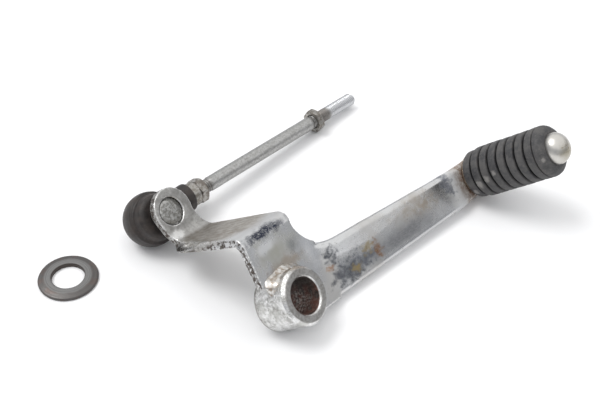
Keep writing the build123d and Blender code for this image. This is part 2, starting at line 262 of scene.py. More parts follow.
# ---- materials ------------------------------------------------------------------------------
class Finish:
    """A principled material whose patterns are measured in a place's millimetres."""

    def __init__(self, name, where):
        """A bare material, and self.at: the point being shaded, in the place's millimetres."""
        self.material = bpy.data.materials.new(name)
        self.material.use_nodes = True
        self.tree = self.material.node_tree
        self.shader = self.tree.nodes["Principled BSDF"]
        back = where.inverted()
        mapping = self.tree.nodes.new("ShaderNodeMapping")
        mapping.inputs["Location"].default_value = back.to_translation()
        mapping.inputs["Rotation"].default_value = back.to_euler()
        mapping.inputs["Scale"].default_value = (1 / MM, 1 / MM, 1 / MM)
        source = self.tree.nodes.new("ShaderNodeTexCoord")
        self.tree.links.new(source.outputs["Object"], mapping.inputs["Vector"])
        self.at = mapping.outputs["Vector"]

    def node(self, kind, inputs, output=0, **settings):
        """Adds a node, links or sets its inputs, and gives one of its outputs."""
        made = self.tree.nodes.new("ShaderNode" + kind)
        for key, value in settings.items():
            setattr(made, key, value)
        for socket, value in inputs.items():
            if isinstance(value, bpy.types.NodeSocket):
                self.tree.links.new(value, made.inputs[socket])
            else:
                made.inputs[socket].default_value = value
        return made.outputs[output]

    def noise(self, size, detail=4.0, rough=0.55, stretch=(1, 1, 1)):
        """Noise from 0 to 1 with features about `size` millimetres across."""
        at = self.node("VectorMath", {0: self.at, 1: stretch}, operation="MULTIPLY")
        values = {"Vector": at, "Scale": 1 / size, "Detail": detail, "Roughness": rough}
        return self.node("TexNoise", values)

    def cells(self, size):
        """Distance to the nearest of scattered points, for pits and specks."""
        return self.node("TexVoronoi", {"Vector": self.at, "Scale": 1 / size})

    def ramp(self, value, low, high, to_low=0.0, to_high=1.0):
        """A soft step: to_low below low, to_high above high."""
        inputs = {"Value": value, "From Min": low, "From Max": high, "To Min": to_low, "To Max": to_high}
        return self.node("MapRange", inputs, interpolation_type="SMOOTHSTEP")

    def math(self, operation, first, second=0.0):
        """One step of arithmetic on numbers."""
        return self.node("Math", {0: first, 1: second}, operation=operation)

    def times(self, first, second):
        """The product of two numbers."""
        return self.math("MULTIPLY", first, second)

    def length(self, vector):
        """The length of a vector, as a number."""
        return self.node("VectorMath", {0: vector}, output=1, operation="LENGTH")

    def axis(self, name):
        """One coordinate of the place, in millimetres."""
        return self.node("SeparateXYZ", {0: self.at}, output="XYZ".index(name))

    def radius(self):
        """The distance from the place's z axis, in millimetres."""
        return self.length(self.node("VectorMath", {0: self.at, 1: (1, 1, 0)}, operation="MULTIPLY"))

    def blotch(self, centre, reach, ragged=0.5, size=2.5, core=0.35):
        """1 within `core` of a centre, fading to 0 at its reach (where distance is 1), ragged."""
        offset = self.node("VectorMath", {0: self.at, 1: centre}, operation="SUBTRACT")
        scale = tuple(1 / r for r in reach)
        scaled = self.node("VectorMath", {0: offset, 1: scale}, operation="MULTIPLY")
        distance = self.length(scaled)
        rag = self.times(self.math("SUBTRACT", self.noise(size), 0.5), 2 * ragged)
        return self.ramp(self.math("ADD", distance, rag), 1.0, core)

    def mix(self, first, second, amount):
        """Blends colours, or numbers when both are numbers or number sockets."""
        colour = isinstance(second, tuple) or getattr(second, "type", "") == "RGBA"
        if colour:
            first = (*first, 1) if isinstance(first, tuple) else first
            second = (*second, 1) if isinstance(second, tuple) else second
            return self.node("Mix", {0: amount, 6: first, 7: second}, output=2, data_type="RGBA")
        return self.node("Mix", {0: amount, 2: first, 3: second}, data_type="FLOAT")

    def tinted(self, colour, tint, mask, strength):
        """The colour turned towards a tint, as far as strength where the mask is 1."""
        return self.mix(colour, tint, self.times(mask, strength))

    def attribute(self, name):
        """The number painted on each vertex under a name."""
        return self.node("Attribute", {}, output=2, attribute_name=name)

    def bump(self, height, strength, distance):
        """Bump from a height of 0 to 1 that stands for `distance` millimetres."""
        inputs = {"Strength": strength, "Distance": distance * MM, "Height": height}
        self.set(Normal=self.node("Bump", inputs))

    def set(self, **values):
        """Sets or links the shader's inputs by name, and gives the finished material."""
        for socket, value in values.items():
            socket = socket.replace("_", " ")
            if isinstance(value, bpy.types.NodeSocket):
                self.tree.links.new(value, self.shader.inputs[socket])
            else:
                value = (*value, 1) if isinstance(value, tuple) and len(value) == 3 else value
                self.shader.inputs[socket].default_value = value
        return self.material


clean_chrome = (0.60, 0.605, 0.61)
hazy_chrome = (0.42, 0.395, 0.36)
dark_spot = (0.065, 0.071, 0.085)
rust = (0.22, 0.115, 0.055)
yellow_rust = (0.34, 0.26, 0.12)


def plate_films(m):
    """Thin films over the clean plating: broad haze, an olive middle, a brown step and arm."""
    haze = m.ramp(m.noise(14, detail=3), 0.42, 0.72)
    colour = m.tinted(clean_chrome, hazy_chrome, haze, 0.45)
    rough = m.mix(0.13, 0.32, haze)
    middle_haze = m.blotch((2, 19, 2.5), (18, 11, 8), ragged=0.8, size=5, core=-0.1)
    colour = m.tinted(colour, (0.40, 0.395, 0.34), middle_haze, 0.75)
    rough = m.mix(rough, 0.3, middle_haze)
    step_haze = m.blotch((4, 33, -22), (20, 7, 26), ragged=0.25, size=7, core=0.6)
    mottle = m.ramp(m.noise(1.8, stretch=(1, 1, 0.5), detail=6, rough=0.7), 0.35, 0.65)
    step_tint = m.mix((0.25, 0.215, 0.175), (0.46, 0.44, 0.41), mottle)
    colour = m.tinted(colour, step_tint, step_haze, 0.9)
    rough = m.mix(rough, 0.42, step_haze)
    boss_stain = m.blotch((3, 12.5, 3), (12, 4, 5), ragged=0.6, size=3)
    arm_haze = m.blotch((72, 2.0, 15), (23, 7.5, 16), ragged=0.6, size=4, core=-0.1)
    arm_haze = m.times(arm_haze, m.ramp(m.noise(1.6, detail=6, rough=0.7), 0.2, 0.62))
    colour = m.tinted(colour, (0.35, 0.28, 0.215), boss_stain, 0.6)
    colour = m.tinted(colour, (0.36, 0.295, 0.222), arm_haze, 0.95)
    rough = m.mix(rough, 0.34, arm_haze)
    smudge = m.blotch((10.5, 17.5, 2.5), (4.5, 4.0, 5), ragged=0.7, size=3, core=0.0)
    colour = m.tinted(colour, (0.26, 0.27, 0.27), smudge, 0.7)
    # clean plating at the root of the arm, beside the boss and at the foot of the eye
    bright_places = [
        ((31, 4.2, 4), (13, 4.4, 8)),
        ((17.5, 12.5, 2.5), (4.5, 9, 5)),
        ((-2, 22.3, 2.5), (10, 3.4, 5)),
    ]
    for centre, reach in bright_places:
        clean = m.blotch(centre, reach, ragged=0.5, size=4, core=0.1)
        colour = m.tinted(colour, (0.76, 0.765, 0.775), clean, 0.8)
    return colour, rough


def arm_painted_shade(m, colour, rough):
    """The lower side of the arm gets painted shade, standing for the dark reflection its chrome shows, up to a
    line that dips beside the boss.
    """
    along, across = m.axis("X"), m.axis("Y")
    climb = m.times(m.math("MAXIMUM", m.math("SUBTRACT", along, 46), 0), 0.115)
    fall = m.times(m.math("MAXIMUM", m.math("SUBTRACT", 44, along), 0), 0.1)
    over = m.math("SUBTRACT", across, m.math("ADD", climb, fall))
    over = m.math("ADD", over, m.times(m.noise(2.5, detail=5), 1.6))
    painted_shade = m.times(m.ramp(over, 3.3, 2.0), m.ramp(along, 22, 27))
    painted_shade = m.times(painted_shade, m.ramp(along, 52, 72, 1.0, 0.3))
    painted_shade = m.times(painted_shade, m.ramp(across, -8.4, -6.0))
    # painted shade: grey over the lower side of the arm, for the dark reflection there
    colour = m.tinted(colour, (0.37, 0.375, 0.38), painted_shade, 0.62)
    # more painted shade: a darker grainy band along the lower side of the arm
    lower = m.blotch((58, -4.0, 11.5), (42, 6.6, 20), ragged=0.35, size=6, core=0.1)
    grain = m.ramp(m.noise(0.7, stretch=(0.5, 1.3, 1), detail=5, rough=0.7), 0.3, 0.7)
    lower_tint = m.mix((0.14, 0.145, 0.155), (0.25, 0.25, 0.26), grain)
    colour = m.tinted(colour, lower_tint, lower, 0.85)
    rough = m.mix(rough, 0.3, lower)
    return colour, rough


def arm_spots(m, colour, rough):
    """Dark and rusty blotches of the arm, most of them near the boss."""
    spread = m.blotch((33, -2.5, 6), (15, 6.5, 9), ragged=0.9, size=3, core=0.2)
    spread = m.times(spread, m.ramp(m.noise(1.0, detail=6, rough=0.75), 0.36, 0.6))
    colour = m.tinted(colour, (0.10, 0.11, 0.135), spread, 0.7)
    streaks = m.ramp(m.noise(0.9, detail=7, rough=0.8), 0.34, 0.62)
    # centre, reach, raggedness, tint and strength of each
    spots = [
        ((24.9, 4.8, 3.4), (4.2, 5.6, 6), 1.3, dark_spot, 0.95),
        ((30, -4.6, 5), (11, 5.2, 8), 1.4, dark_spot, 0.9),
        ((24.5, -2.4, 4), (3.6, 3.6, 6), 1.4, (0.13, 0.135, 0.15), 0.7),
        ((40, -2.6, 7), (8, 3.8, 8), 1.4, (0.13, 0.14, 0.16), 0.75),
        ((89.5, 4.0, 19.0), (4.2, 8.5, 8), 1.5, (0.09, 0.10, 0.13), 0.85),
        ((46, -2.6, 8.5), (2.6, 5.6, 6), 1.2, rust, 0.9),
        ((41.5, -0.2, 7.5), (4.5, 2.8, 6), 1.3, yellow_rust, 0.65),
        ((33.3, -4.6, 5.4), (3.8, 2.2, 6), 1.2, yellow_rust, 0.8),
        ((22.6, 0.9, 3), (2.8, 1.9, 5), 1.2, (0.36, 0.20, 0.11), 0.8),
    ]
    for centre, reach, ragged, tint, strength in spots:
        spot = m.blotch(centre, reach, ragged=ragged, size=2.0, core=0.25)
        spot = m.times(spot, m.mix(1.0, streaks, 0.45))
        colour = m.tinted(colour, tint, spot, strength)
        rough = m.mix(rough, 0.5, spot)
    return colour, rough


def bend_wear(m, colour, rough):
    """The first bend: rubbed matt, with a dark pitted patch. Also gives the patch."""
    patch = m.blotch((0.5, 27.2, 1.6), (16, 2.9, 5), ragged=0.6, size=3.0, core=0.3)
    patch = m.times(patch, m.ramp(m.noise(0.65, detail=6, rough=0.78), 0.32, 0.52))
    colour = m.mix(colour, (0.035, 0.04, 0.06), patch)
    bend_middle, bend_reach = 29.2, 3.2
    from_bend = m.math("ABSOLUTE", m.math("SUBTRACT", m.axis("Y"), bend_middle))
    bend = m.ramp(from_bend, bend_reach, bend_reach / 2)
    rough = m.mix(rough, 0.46, m.times(bend, m.ramp(m.axis("X"), 20, 18)))
    return colour, rough, patch


def eye_and_pad_dirt(m, colour, rough):
    """The speckled eye, and the pad under the peg with rust at its collar. Also gives the dirt."""
    eye_zone = m.ramp(m.axis("Z"), eye_front + 3.5, eye_front + 0.4)
    speck = m.ramp(m.noise(0.8, detail=6, rough=0.75), 0.38, 0.66)
    eye_dirt = m.times(eye_zone, speck)
    clouds = m.ramp(m.noise(3.2, detail=6, rough=0.7), 0.36, 0.62)
    eye_tint = m.mix((0.25, 0.245, 0.235), (0.47, 0.465, 0.45), clouds)
    colour = m.tinted(colour, eye_tint, eye_zone, 0.85)
    colour = m.tinted(colour, (0.13, 0.12, 0.105), eye_dirt, 0.55)
    rough = m.mix(rough, 0.4, eye_zone)
    foot = m.blotch((-3.4, 37.6, -40), (4.4, 3.0, 3.5), ragged=0.6, size=2)
    colour = m.tinted(colour, (0.85, 0.85, 0.84), foot, 0.6)
    pad_zone = m.ramp(m.axis("X"), 93, 101)
    pad_dirt = m.times(pad_zone, m.ramp(m.noise(1.3, detail=6, rough=0.74), 0.45, 0.56))
    colour = m.tinted(colour, (0.56, 0.53, 0.50), pad_zone, 0.8)
    colour = m.tinted(colour, (0.21, 0.145, 0.10), pad_dirt, 0.8)
    creep = m.blotch((107, 0, 22), (13.5, 13.5, 20), ragged=0.8, size=2.5, core=0.35)
    colour = m.tinted(colour, (0.20, 0.115, 0.075), creep, 0.6)
    return colour, rough, eye_dirt


def plate_chrome():
    """Plating on the pressed plate: bright where clean, hazed brown, blotched and pitted, with painted shade on
    the arm's lower side and painted highlights on rounded edges.
    """
    m = Finish("plate_chrome", lever)
    colour, rough = plate_films(m)
    colour, rough = arm_painted_shade(m, colour, rough)
    colour, rough = arm_spots(m, colour, rough)
    colour, rough, patch = bend_wear(m, colour, rough)
    colour, rough, eye_dirt = eye_and_pad_dirt(m, colour, rough)
    # the sheared edges are mottled black and bright
    bare = m.ramp(m.noise(1.0, stretch=(1, 0.6, 0.6), detail=5, rough=0.7), 0.46, 0.55)
    bare = m.times(m.attribute("cut"), bare)
    colour = m.mix(colour, (0.10, 0.085, 0.075), bare)
    rough = m.mix(rough, 0.45, bare)
    pits = m.ramp(m.cells(1.15), 0.20, 0.10)
    pits = m.times(pits, m.ramp(m.noise(5, detail=2), 0.50, 0.66))
    colour = m.tinted(colour, (0.12, 0.10, 0.085), pits, 0.8)
    fine = m.noise(0.9, detail=5)
    rough = m.math("ADD", rough, m.times(fine, 0.08))
    height = m.math("SUBTRACT", m.times(fine, 0.25), pits)
    for hollow, depth in ((patch, 0.5), (bare, 0.8), (eye_dirt, 0.4)):
        height = m.math("SUBTRACT", height, m.times(hollow, depth))
    m.bump(height, 0.5, 0.12)
    # painted highlight: the rounded edges of the sheet are painted near white, for the light they catch
    rim = m.times(m.attribute("rim"), m.ramp(m.noise(2.2, detail=4), 0.36, 0.52))
    colour = m.tinted(colour, (0.88, 0.88, 0.87), rim, 0.9)
    rough = m.mix(rough, 0.18, rim)
    # the pad under the peg has lost its plating
    bald = m.ramp(m.math("ADD", m.axis("X"), m.times(m.noise(3.0), 6.0)), 88, 97)
    rough = m.mix(rough, 0.5, bald)
    return m.set(Base_Color=colour, Roughness=rough, Metallic=m.mix(1.0, 0.35, bald))


def boss_chrome():
    """The pivot tube: bright plating broken by close pits, brown inside, with pale specks of painted reflection in
    the bore.
    """
    m = Finish("boss_chrome", lever)
    big = m.ramp(m.noise(1.2, detail=7, rough=0.78), 0.40, 0.68)
    small = m.ramp(m.cells(0.62), 0.30, 0.08)
    small = m.times(small, m.ramp(m.noise(2.6, detail=2), 0.42, 0.62))
    dirt = m.math("MAXIMUM", big, small)
    height = m.axis("Z")
    # the turned outboard end is cleaner than the rest
    clean_end = m.ramp(height, 6.0, 7.0)
    dirt = m.times(dirt, m.mix(1.0, 0.6, clean_end))
    broad = m.ramp(m.noise(6.5, detail=3), 0.38, 0.60)
    dirt = m.times(dirt, m.mix(0.35, 1.0, broad))
    stain = m.blotch((4, 10.5, 5), (10, 4.5, 6), ragged=0.9, size=3)
    dull = m.ramp(m.noise(4.5, detail=5, rough=0.65), 0.44, 0.64)
    colour = m.mix((0.80, 0.80, 0.795), (0.50, 0.50, 0.48), dull)
    colour = m.tinted(colour, (0.34, 0.27, 0.21), stain, 0.75)
    back_rim = m.ramp(height, 2.2 - boss_half, 1.0 - boss_half)
    colour = m.tinted(colour, (0.27, 0.26, 0.245), back_rim, 0.75)
    colour = m.tinted(colour, (0.19, 0.18, 0.165), dirt, 0.8)
    rough = m.mix(0.16, 0.5, dirt)
    end_face = m.ramp(height, boss_half - 0.45, boss_half - 0.1)
    worn_ring = m.mix((0.30, 0.295, 0.285), (0.20, 0.19, 0.18), m.ramp(m.noise(1.0, detail=5), 0.4, 0.6))
    colour = m.tinted(colour, worn_ring, end_face, 0.85)
    rough = m.mix(rough, 0.42, end_face)
    bore = m.ramp(m.radius(), bore_r + 0.35, bore_r + 0.05)
    red = m.times(m.ramp(m.noise(3.0, detail=5), 0.36, 0.6), m.ramp(m.axis("Y"), 4.5, -1.5))
    rusty = m.mix((0.030, 0.022, 0.018), (0.12, 0.045, 0.03), red)
    # painted reflection: pale specks over the rust in the bore, most of them to one side, stand for light the bore
    # reflects
    specks = m.ramp(m.noise(0.9, detail=6, rough=0.75), 0.46, 0.58)
    worn = m.blotch((5.2, -4.2, -1.5), (6.5, 6.0, 7.0), ragged=0.6, size=3)
    worn = m.times(specks, m.mix(0.12, 0.6, worn))
    rusty = m.mix(rusty, (0.62, 0.57, 0.53), worn)
    colour = m.mix(colour, rusty, bore)
    rough = m.mix(rough, 0.6, bore)
    m.bump(m.math("SUBTRACT", m.noise(0.8), dirt), 0.7, 0.12)
    return m.set(Base_Color=colour, Roughness=rough, Metallic=m.mix(1.0, 0.35, bore))


def weld_chrome():
    """Plating on a rough bead, stained brown in patches."""
    m = Finish("weld_chrome", lever)
    dirt = m.ramp(m.noise(1.6, detail=6, rough=0.7), 0.42, 0.62)
    colour = m.tinted((0.62, 0.61, 0.59), (0.25, 0.185, 0.13), dirt, 0.8)
    m.bump(m.noise(0.7), 0.5, 0.1)
    return m.set(Base_Color=colour, Roughness=m.mix(0.22, 0.5, dirt), Metallic=1.0)


def bare_steel(name, where, light, dark, roughness=(0.3, 0.5), size=1.0):
    """Dull plated steel, mottled with grime of about `size`, rougher where it is dirty."""
    m = Finish(name, where)
    dirt = m.ramp(m.noise(size, detail=6, rough=0.72), 0.41, 0.58)
    broad = m.ramp(m.noise(6 * size, detail=3), 0.4, 0.7)
    colour = m.mix(light, dark, m.mix(m.times(dirt, 0.85), 1.0, m.times(broad, 0.35)))
    rough = m.mix(*roughness, dirt)
    m.bump(m.math("SUBTRACT", m.noise(0.5 * size), dirt), 0.5, 0.06)
    return m.set(Base_Color=colour, Roughness=rough, Metallic=1.0)


def rod_zinc():
    """The rod: satin zinc with grime streaks, dark in the thread, bright at the tip."""
    m = Finish("rod_zinc", rod)
    along = m.axis("Z")
    streak = m.noise(0.9, stretch=(1, 1, 0.8), detail=7, rough=0.78)
    dirt = m.ramp(streak, 0.36, 0.70)
    colour = m.tinted((0.46, 0.46, 0.455), (0.20, 0.195, 0.18), dirt, 0.75)
    rough = m.mix(0.34, 0.52, dirt)
    thread_dirt = m.times(m.ramp(along, 99, 101), m.ramp(along, 111, 106))
    near_thread = m.ramp(along, near_thread_end + 1.5, near_thread_end - 0.5)
    root = m.ramp(m.radius(), thread_r - 0.15, thread_r - 0.45)
    root = m.times(root, m.ramp(along, rod_end - 0.6, rod_end - 0.8))
    grimy = m.math("MAXIMUM", m.times(thread_dirt, 0.8), m.times(near_thread, 0.2))
    grimy = m.math("MAXIMUM", grimy, root)
    colour = m.tinted(colour, (0.22, 0.195, 0.175), grimy, 0.7)
    tip = m.ramp(along, 108, 110.5)
    colour = m.tinted(colour, (0.72, 0.73, 0.75), tip, 0.8)
    rough = m.mix(m.mix(rough, 0.24, tip), 0.55, grimy)
    m.bump(m.math("SUBTRACT", m.noise(0.6), dirt), 0.4, 0.05)
    return m.set(Base_Color=colour, Roughness=rough, Metallic=1.0)


def peg_rubber_finish():
    """Black rubber greyed by dust, with pale scuffs on the ribs and painted shade in the grooves."""
    m = Finish("peg_rubber_finish", peg)
    cloud = m.noise(5, detail=5, rough=0.6)
    colour = m.mix((0.043, 0.043, 0.046), (0.095, 0.092, 0.090), m.ramp(cloud, 0.35, 0.65))
    grime = m.ramp(m.noise(1.1, detail=6, rough=0.75), 0.48, 0.70)
    colour = m.tinted(colour, (0.16, 0.15, 0.14), grime, 0.4)
    height = m.axis("Z")
    past_collar = m.ramp(height, collar_top + 1.9, collar_top + 2.9)
    ribbed = m.times(past_collar, m.ramp(height, rubber_top - 3.7, rubber_top - 4.3))
    # painted shade: the floors of the grooves are painted near black
    groove_shade = m.times(m.ramp(m.radius(), 10.35, 9.7), ribbed)
    colour = m.mix(colour, (0.006, 0.006, 0.007), groove_shade)
    lines = m.ramp(m.noise(0.5, stretch=(1, 1, 0.2), detail=4), 0.45, 0.7)
    colour = m.tinted(colour, (0.085, 0.083, 0.082), lines, 0.35)
    scuffs = [
        ((-10.6, -2.4, 28.7), (2.2, 2.9, 1.9)),
        ((-10.6, -1.0, 33.2), (2.0, 2.1, 1.6)),
        ((-10.8, 0.4, 37.6), (2.0, 1.5, 1.3)),
        ((-9.2, -0.8, 60.4), (1.8, 1.6, 1.5)),
        ((-8.8, -6.2, 24.0), (2.0, 2.6, 1.5)),
    ]
    for centre, reach in scuffs:
        scuff = m.blotch(centre, reach, ragged=0.7, size=1.1)
        colour = m.tinted(colour, (0.30, 0.285, 0.27), scuff, 0.7)
    dust = m.ramp(m.cells(1.4), 0.13, 0.05)
    colour = m.tinted(colour, (0.30, 0.28, 0.25), dust, 0.25)
    m.bump(m.math("ADD", m.noise(0.6), m.times(cloud, 0.6)), 0.35, 0.12)
    return m.set(Base_Color=colour, Roughness=m.ramp(cloud, 0.3, 0.7, 0.55, 0.72), Specular_IOR_Level=0.4)


def boot_rubber_finish():
    """The ball joint's cover: matt brown-black rubber, smoother where darker, with lighter worn specks."""
    m = Finish("boot_rubber_finish", joint)
    cloud = m.noise(4, detail=5, rough=0.6)
    colour = m.mix((0.016, 0.013, 0.012), (0.040, 0.031, 0.027), m.ramp(cloud, 0.35, 0.68))
    wear = m.ramp(m.noise(0.9, detail=4, rough=0.7), 0.56, 0.74)
    colour = m.tinted(colour, (0.10, 0.085, 0.075), wear, 0.35)
    m.bump(m.math("ADD", m.noise(0.5), m.times(cloud, 0.8)), 0.3, 0.12)
    return m.set(Base_Color=colour, Roughness=m.ramp(cloud, 0.3, 0.7, 0.42, 0.6), Specular_IOR_Level=0.45)


def washer_finish():
    """Worn steel with turned rings, darker and browner on its sloping rim."""
    m = Finish("washer_finish", washer)
    radius = m.radius()
    rim = m.ramp(m.math("ADD", radius, m.times(m.noise(2.5), 0.8)), 9.5, 10.0)
    bore = m.ramp(radius, washer_hole_r + 0.45, washer_hole_r + 0.1)
    rings = m.node("TexNoise", {"W": radius, "Scale": 2.6, "Detail": 3.0}, noise_dimensions="1D")
    colour = m.mix((0.15, 0.148, 0.145), (0.21, 0.208, 0.205), m.ramp(rings, 0.4, 0.6))
    colour = m.tinted(colour, (0.105, 0.098, 0.094), rim, 0.8)
    brown = m.times(rim, m.ramp(m.noise(4, detail=4), 0.50, 0.62))
    colour = m.tinted(colour, (0.15, 0.10, 0.085), brown, 0.35)
    colour = m.mix(colour, (0.07, 0.06, 0.055), bore)
    grain = m.noise(0.9, detail=5, rough=0.7)
    m.bump(m.math("ADD", grain, m.times(rings, 0.6)), 0.4, 0.05)
    return m.set(Base_Color=colour, Roughness=m.ramp(grain, 0.3, 0.7, 0.38, 0.55), Metallic=0.8)


def dome_finish():
    """Polished steel end of the peg, with a scatter of yellow rust specks on one side, and that side darker and
    browner, partly tarnished and partly painted shade.
    """
    m = Finish("dome_finish", peg)
    specks = m.ramp(m.noise(0.8, detail=4, rough=0.7), 0.52, 0.62)
    side = m.blotch((-1.4, -1.2, 67.6), (4.2, 4.2, 4), ragged=0.8, size=1.5, core=0.2)
    rusty = m.times(specks, side)
    # darker brown side of the dome: partly a tarnished film, partly painted shade standing in for the darker
    # reflection on that side
    tarnish_and_shade = m.blotch((-1.0, -2.5, 67), (6.5, 6.5, 7), ragged=0.4, size=3, core=0.1)
    colour = m.tinted((0.58, 0.565, 0.535), (0.36, 0.335, 0.27), tarnish_and_shade, 0.9)
    colour = m.tinted(colour, (0.17, 0.125, 0.06), rusty, 0.85)
    rough = m.mix(m.ramp(m.noise(2.0, detail=4), 0.3, 0.7, 0.28, 0.4), 0.55, rusty)
    m.bump(m.math("SUBTRACT", m.noise(0.5), rusty), 0.35, 0.05)
    return m.set(Base_Color=colour, Roughness=rough, Metallic=1.0)


def seat_finish():
    """Ivory plastic stained by grease."""
    m = Finish("seat_finish", joint)
    stain = m.ramp(m.noise(2.0, detail=4), 0.4, 0.7)
    m.bump(m.noise(0.5), 0.2, 0.05)
    colour = m.tinted((0.72, 0.69, 0.60), (0.45, 0.38, 0.28), stain, 0.5)
    return m.set(Base_Color=colour, Roughness=m.ramp(stain, 0, 1, 0.4, 0.55))


# ---- lever plate ----------------------------------------------------------------------------
def lever_plate():
    """The pressed plate, its edges worn round, with its sheared walls marked for the material and its rounded
    edges marked for a painted highlight.
    """
    mesh = voxelled("lever_plate_worn", nodes["lever_plate"].data.copy(), voxel=0.34, passes=7)
    turn = lever.inverted().to_3x3().normalized()
    arm_root, step_start, step_end, eye_top = 20.5, 26, 40, eye_front + 1.5
    cuts, highlight_rims = [], []

    def uneven(spot, normal):
        way = turn @ normal
        on_arm = spot.x > arm_root
        sideways = abs(way.x) if spot.z > eye_top else 1 - abs(way.z)
        cut = 0.0 if on_arm else limited((sideways - 0.55) / 0.3)
        cuts.append(cut)
        # rounded edges of the sheet, marked for a painted highlight
        rim = limited((0.985 - max(abs(way.x), abs(way.y), abs(way.z))) / 0.10)
        on_bend = step_start < spot.y < step_end and abs(way.x) < 0.3
        highlight_rims.append(0.0 if on_bend or on_arm else rim * (1 - cut))
        # sheared walls are a little uneven, sheet faces have slow waves
        return 0.07 * cut * wander(spot, 0.9, 3.0) + 0.05 * wander(spot, 7.0, 5.0)

    pushed(mesh, lever, uneven)
    paint(mesh, "cut", cuts)
    paint(mesh, "rim", highlight_rims)
    finished("lever_plate_worn", mesh, "lever", "plate_chrome", plate_chrome(), "lever_plate")


# ---- pivot boss and welds -------------------------------------------------------------------
def pivot_boss():
    """The tube through the plate, with chamfered ends and a dented skin."""
    outline = rounded([
        (bore_r, -boss_half + 0.9, 0.3),
        (bore_r + 0.9, -boss_half, 0.3),
        (boss_r - 0.8, -boss_half, 0.4),
        (boss_r, -boss_half + 0.8, 0.5),
        (boss_r, boss_half - 1.3, 0.35),
        (boss_r - 1.3, boss_half, 0.3),
        (bore_r + 0.9, boss_half, 0.25),
        (bore_r, boss_half - 0.9, 0.25),
    ])

    skin_r = 9.0

    def dented(angle, radius, height):
        if radius < skin_r:
            return radius, height
        spot = (radius * cos(angle), radius * sin(angle), height)
        dent = 0.10 * wander(spot, 4.0, 1.0) + 0.05 * wander(spot, 1.3, 2.0)
        return radius + min(dent, 0.04), height

    mesh = turned_mesh("pivot_boss_worn", lever, divided(outline, 0.5), 160, shape=dented)
    finished("pivot_boss_worn", mesh, "lever", "boss_chrome", boss_chrome(), "pivot_boss")


def weld(name, node, face, way, degrees, lump, material):
    """A rippled fillet bead from the plate's face up the boss, fuller by `lump` at one place."""
    leg = 2.1
    inner, outer = boss_r - 0.2, boss_r + leg
    first, arc = radians(-42), radians(degrees)
    lump_angle, lump_width = radians(128), radians(15)
    outline = [
        Vector((inner, face - 0.25 * way)),
        Vector((outer, face - 0.25 * way)),
        Vector((outer - 0.15, face + 0.10 * way)),
        Vector((boss_r + 0.62 * leg, face + 0.36 * leg * way)),
        Vector((boss_r + 0.34 * leg, face + 0.66 * leg * way)),
        Vector((boss_r + 0.10 * leg, face + 0.97 * leg * way)),
        Vector((inner, face + 1.03 * leg * way)),
    ]

    def rippled(angle, radius, height):
        proud = max(radius - boss_r, 0.0)
        ripple = 0.035 * sin(26 * angle + 3 * wander((angle * 4, 0, 0), 1.0)) if proud > 0.1 else 0
        ripple += 0.22 * wander((radius * cos(angle), radius * sin(angle), height), 3.2, 7.0)
        # the bead fades out at both ends
        along = limited((angle - first) / arc)
        full = min(1.0, 5.0 * sin(pi * along) ** 1.2 + 0.05)
        full *= 1 + lump * exp(-(((angle - lump_angle) / lump_width) ** 2))
        radius += ripple * min(proud, 1.0)
        height += way * ripple * min(proud, 1.0)
        return inner + (radius - inner) * full, face + (height - face) * full

    mesh = turned_mesh(name, lever, divided(outline, 0.4), 150, shape=rippled, start=first, arc=arc)
    finished(name, mesh, "lever", "weld_chrome", material, node)


# ---- peg ------------------------------------------------------------------------------------
def peg_pin():
    """Riveted tenon, core and polished dome in one turned piece."""
    tenon_r, dome_r = 4.5, 6.7
    dome_foot, dome_rise = rubber_top + 0.6, 5.6
    body = rounded([
        (0, pad_back - 1.5, 0),
        (tenon_r - 1.0, pad_back - 1.4, 0.5),
        (tenon_r + 1.1, pad_back - 0.7, 0.5),
        (tenon_r + 1.3, pad_back, 0.1),
        (tenon_r, pad_back, 0.05),
        (tenon_r, pad_front, 0.05),
        (pin_r, pad_front, 0.05),
        (pin_r, rubber_top, 0.05),
        (dome_r, rubber_top, 0.15),
        (dome_r, dome_foot, 0),
    ], closed=False)
    dome = arc_points(dome_r, dome_rise, 0, pi / 2, 22, centre=dome_foot)[1:]
    outline = divided(body, 1.5, closed=False) + dome

    def hammered(angle, radius, height):
        dent = 0.0
        if height < pad_back and radius > 0.5:
            dent = 0.10 * wander((radius * cos(angle), radius * sin(angle), 0), 1.5, 4.0)
        return radius, height + dent

    mesh = turned_mesh("peg_pin_turned", peg, outline, 96, closed=False, shape=hammered)
    finished("peg_pin_turned", mesh, "lever", "peg_steel", dome_finish(), "peg_pin")


def peg_collar():
    """A thin ring between the pad and the rubber, a little wider at the rubber."""
    outline = rounded([
        (pin_r, pad_front, 0.05),
        (8.9, pad_front, 0.35),
        (9.2, collar_top - 0.1, 0.45),
        (pin_r, collar_top - 0.02, 0.05),
    ])
    mesh = turned_mesh("peg_collar_turned", peg, divided(outline, 0.5), 96)
    dirty = bare_steel("collar_steel", peg, (0.50, 0.44, 0.37), (0.16, 0.11, 0.075), (0.12, 0.45))
    finished("peg_collar_turned", mesh, "lever", "peg_collar_steel", dirty, "peg_collar")


